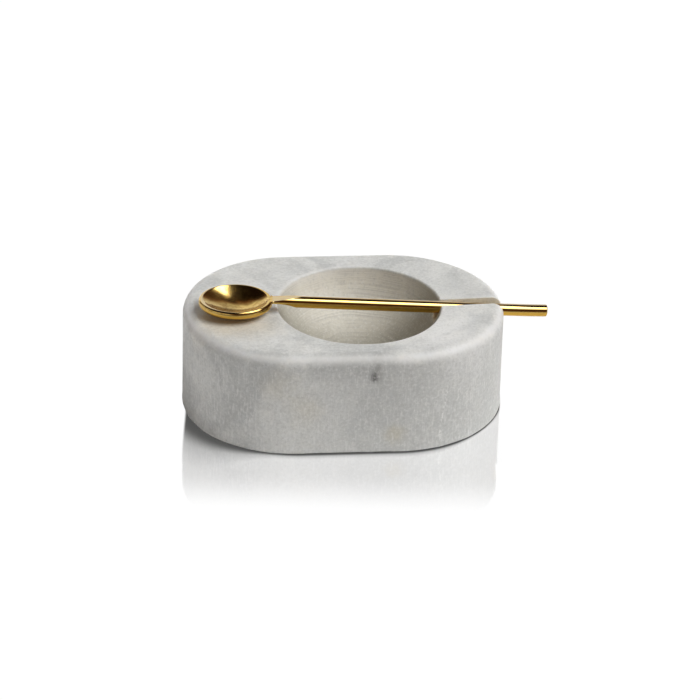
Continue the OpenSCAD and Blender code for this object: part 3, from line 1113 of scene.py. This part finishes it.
def floor_material(finish, studio):
    """White gloss floor: the camera sees its white and its mirror image, and other rays its tone."""
    material, nodes = new_material("white_floor")
    where = nodes.millimetres()
    turned = nodes.turned(where, (0.0, 0.0, 0.0), -studio.camera_azimuth)
    across, ahead, _ = nodes.split(turned)
    beside = nodes.times(
        nodes.spread(across, GLOSS_RIGHT, GLOSS_RIGHT - GLOSS_FADE),
        nodes.spread(across, GLOSS_LEFT, GLOSS_LEFT + GLOSS_FADE),
    )

    # What the camera sees: white, with the block's mirror image and a shadow close to its base
    white = nodes.add("ShaderNodeEmission", {"Color": (*WHITE, 1.0), "Strength": 1.02})
    mirror = nodes.add("ShaderNodeBsdfGlossy", {"Color": (*WHITE, 1.0), "Roughness": 0.05})
    dark = nodes.add("ShaderNodeEmission", {"Color": (0.06, 0.06, 0.058, 1.0), "Strength": 1.0})
    mirrored = mirror_part(nodes, across, ahead, beside)
    seen = nodes.add("ShaderNodeMixShader", {0: mirrored, 1: white, 2: mirror})
    shade = contact_shadow(nodes, across, outline_reach(nodes, where), beside)
    seen = nodes.add("ShaderNodeMixShader", {0: shade, 1: seen, 2: dark})

    # What lights the object: a pale floor that darkens in front
    far = nodes.spread(ahead, -70.0, -220.0, 0.0, 0.75)
    tone = nodes.mix(far, rgb(finish.floor), (0.0, 0.0, 0.0))
    lit = nodes.add("ShaderNodeBsdfDiffuse", {"Color": tone})
    camera_ray = nodes.add("ShaderNodeLightPath", output=0)
    shader = nodes.add("ShaderNodeMixShader", {0: camera_ray, 1: lit, 2: seen})
    nodes.add("ShaderNodeOutputMaterial", {"Surface": shader})
    return material


def softbox_light(nodes, aim, up, strength):
    """A large softbox high on the right, brightest in its middle."""
    edges = [nodes.spread(nodes.dot(aim, way), low, high) for way, low, high in SOFTBOX_EDGES]
    middle = nodes.spread(nodes.dot(aim, SOFTBOX_MIDDLE), 0.80, 0.99)
    glow = nodes.plus(nodes.times(middle, 0.7), 0.7)
    return nodes.times(*edges, nodes.spread(up, 0.28, 0.8), glow, strength)


def backdrop_light(nodes, aim, right, up, strength):
    """A white backdrop behind, which ends at the height where the spoon mirrors its edge."""
    bright = nodes.times(nodes.spread(up, 0.74, 0.60), 0.6)
    faint = nodes.times(nodes.spread(up, 0.94, 0.70), nodes.spread(right, 0.2, 0.1, 0.0, 0.42))
    level = nodes.plus(bright, faint, nodes.spread(up, 0.47, 0.2, 0.0, 0.35))
    toward = (math.sin(BACKDROP_TURN), -math.cos(BACKDROP_TURN), 0.0)
    flat = nodes.vector("NORMALIZE", nodes.vector("MULTIPLY", aim, (1.0, 1.0, 0.0)))
    return nodes.times(level, nodes.spread(nodes.dot(flat, toward), 0.76, 0.95), strength)


def studio_world(studio):
    """A dark room with a softbox, a backdrop and a low fill, which the camera sees as white."""
    world = bpy.data.worlds.new("studio_room")
    world.use_nodes = True
    nodes = Nodes(world.node_tree)
    aim = nodes.add("ShaderNodeTexCoord", output=0)
    right, back, up = nodes.split(aim)
    key = softbox_light(nodes, aim, up, studio.key_strength)
    backdrop = backdrop_light(nodes, aim, right, up, studio.backdrop_strength)
    dim = nodes.times(nodes.spread(right, -0.1, 0.6), 0.05)
    horizon = nodes.times(nodes.spread(back, 0.0, -0.6), nodes.spread(up, 0.45, 0.1, 0.0, 0.1))
    from_left = nodes.spread(nodes.dot(aim, (-0.94, -0.34, 0.0)), 0.3, 0.7)
    fill = nodes.times(from_left, nodes.spread(up, 0.55, 0.3, 0.0, 0.6))
    level = nodes.plus(key, backdrop, dim, horizon, fill, AMBIENT)
    camera_ray = nodes.add("ShaderNodeLightPath", output=0)
    unseen = nodes.less(1.0, camera_ray)
    level = nodes.plus(nodes.times(unseen, level), nodes.times(camera_ray, 1.05))
    # Dim light is warm, and bright light is white
    tone = nodes.mix(nodes.spread(level, 0.05, 0.6), (1.0, 0.45, 0.2), WHITE)
    shader = nodes.add("ShaderNodeBackground", {"Color": tone, "Strength": level})
    nodes.add("ShaderNodeOutputWorld", {"Surface": shader})
    return world


def build_floor(scene, studio):
    """A round floor under the block."""
    work = bmesh.new()
    bmesh.ops.create_circle(work, cap_ends=True, radius=studio.floor_radius, segments=FLOOR_SIDES)
    mesh = bpy.data.meshes.new("floor_disc")
    work.to_mesh(mesh)
    work.free()
    mesh.materials.append(floor_material(scene.salt_bowl_finishes, studio))
    floor = bpy.data.objects.new("floor_disc", mesh)
    scene.collection.objects.link(floor)


def place_camera(scene, studio):
    """The camera stands where the block is seen as in the reference view."""
    a, e = studio.camera_azimuth, studio.camera_elevation
    back = Vector((math.sin(a) * math.cos(e), -math.cos(a) * math.cos(e), math.sin(e)))
    camera_data = bpy.data.cameras.new("camera")
    camera_data.lens = studio.camera_lens
    camera_data.sensor_width = SENSOR_WIDTH
    camera_data.shift_x = studio.camera_shift_x
    camera_data.shift_y = studio.camera_shift_y
    camera = bpy.data.objects.new("camera", camera_data)
    scene.collection.objects.link(camera)
    aim = back.to_track_quat("Z", "Y").to_matrix().to_4x4()
    middle = Vector((0.0, 0.0, BLOCK_HEIGHT / 2))
    roll = Matrix.Rotation(studio.camera_roll, 4, "Z")
    camera.matrix_world = Matrix.Translation(middle + back * studio.camera_distance) @ aim @ roll
    scene.camera = camera


class SALTBOWL_OT_block(Operator):
    """Carve the marble block with its hollow and its groove"""

    bl_idname = "salt_bowl.block"
    bl_label = "Marble block"

    def execute(self, context):
        sizes = context.scene.salt_bowl_block
        mesh = grid_mesh("marble_block_carved", block_grid(sizes), sharp_angle=40.0)
        mesh.materials.append(marble_material(context.scene.salt_bowl_finishes, sizes))
        new_object("carved_marble", mesh, "bowl_block", ["marble_block"])
        return {"FINISHED"}


class SALTBOWL_OT_spoon(Operator):
    """Shape the spoon's bowl, its handle and the filler metal that joins them"""

    bl_idname = "salt_bowl.spoon"
    bl_label = "Brass spoon"

    def execute(self, context):
        scene = context.scene
        sizes, finish = scene.salt_bowl_spoon, scene.salt_bowl_finishes
        line = SpoonLine(scene.salt_bowl_block, sizes)
        cast = (1.2, 1.2, 1.2)
        along = (0.15, 6.0, 6.0)
        for name, build, slot, node, tone, roughness, streaks in (
            ("scoop_shell", build_scoop, "brass", "spoon_bowl", finish.brass, 0.06, cast),
            ("handle_rod", build_handle, "brass", "spoon_handle", finish.brass, 0.04, along),
            ("braze_web", build_web, "filler", "braze_fillet", finish.filler, 0.1, cast),
        ):
            mesh = build(line, sizes)
            mesh.materials.append(
                brass_material(name + "_brass", finish, rgb(tone), roughness, line, streaks)
            )
            new_object(name, mesh, "spoon", [node])
        return {"FINISHED"}


class SALTBOWL_OT_stage(Operator):
    """Set up the floor, the lights and the camera"""

    bl_idname = "salt_bowl.stage"
    bl_label = "Studio"

    def execute(self, context):
        scene = context.scene
        studio = scene.salt_bowl_studio
        build_floor(scene, studio)
        scene.world = studio_world(studio)
        place_camera(scene, studio)
        scene.view_settings.view_transform = "Standard"
        scene.view_settings.look = "None"
        return {"FINISHED"}


class SALTBOWL_PT_sidebar(Panel):
    """Lists the sizes, the colours and the steps that build the salt bowl"""

    bl_label = "Salt Bowl"
    bl_idname = "SALTBOWL_PT_sidebar"
    bl_space_type = "VIEW_3D"
    bl_region_type = "UI"
    bl_category = "Salt Bowl"

    def draw(self, context):
        layout = self.layout
        for operator in OPERATORS:
            layout.operator(operator.bl_idname)
        for label, owner in GROUPS:
            box = layout.box()
            box.label(text=owner.__doc__)
            for name in owner.__annotations__:
                box.prop(getattr(context.scene, label), name)


OPERATORS = (SALTBOWL_OT_block, SALTBOWL_OT_spoon, SALTBOWL_OT_stage)
GROUPS = (
    ("salt_bowl_block", BlockSizes),
    ("salt_bowl_spoon", SpoonSizes),
    ("salt_bowl_finishes", Finishes),
    ("salt_bowl_studio", Studio),
)


def register():
    """Registers the groups of sizes and colours, the operators and the panel."""
    for _, group in GROUPS:
        bpy.utils.register_class(group)
    for cls in (*OPERATORS, SALTBOWL_PT_sidebar):
        bpy.utils.register_class(cls)
    for label, group in GROUPS:
        setattr(bpy.types.Scene, label, PointerProperty(type=group))


def unregister():
    """Takes away what register added, in the opposite order."""
    for label, _ in GROUPS:
        delattr(bpy.types.Scene, label)
    for cls in (SALTBOWL_PT_sidebar, *reversed(OPERATORS)):
        bpy.utils.unregister_class(cls)
    for _, group in reversed(GROUPS):
        bpy.utils.unregister_class(group)


def main():
    """Builds the salt bowl and its studio."""
    register()
    bpy.ops.salt_bowl.block()
    bpy.ops.salt_bowl.spoon()
    bpy.ops.salt_bowl.stage()


if __name__ == "__main__":
    main()
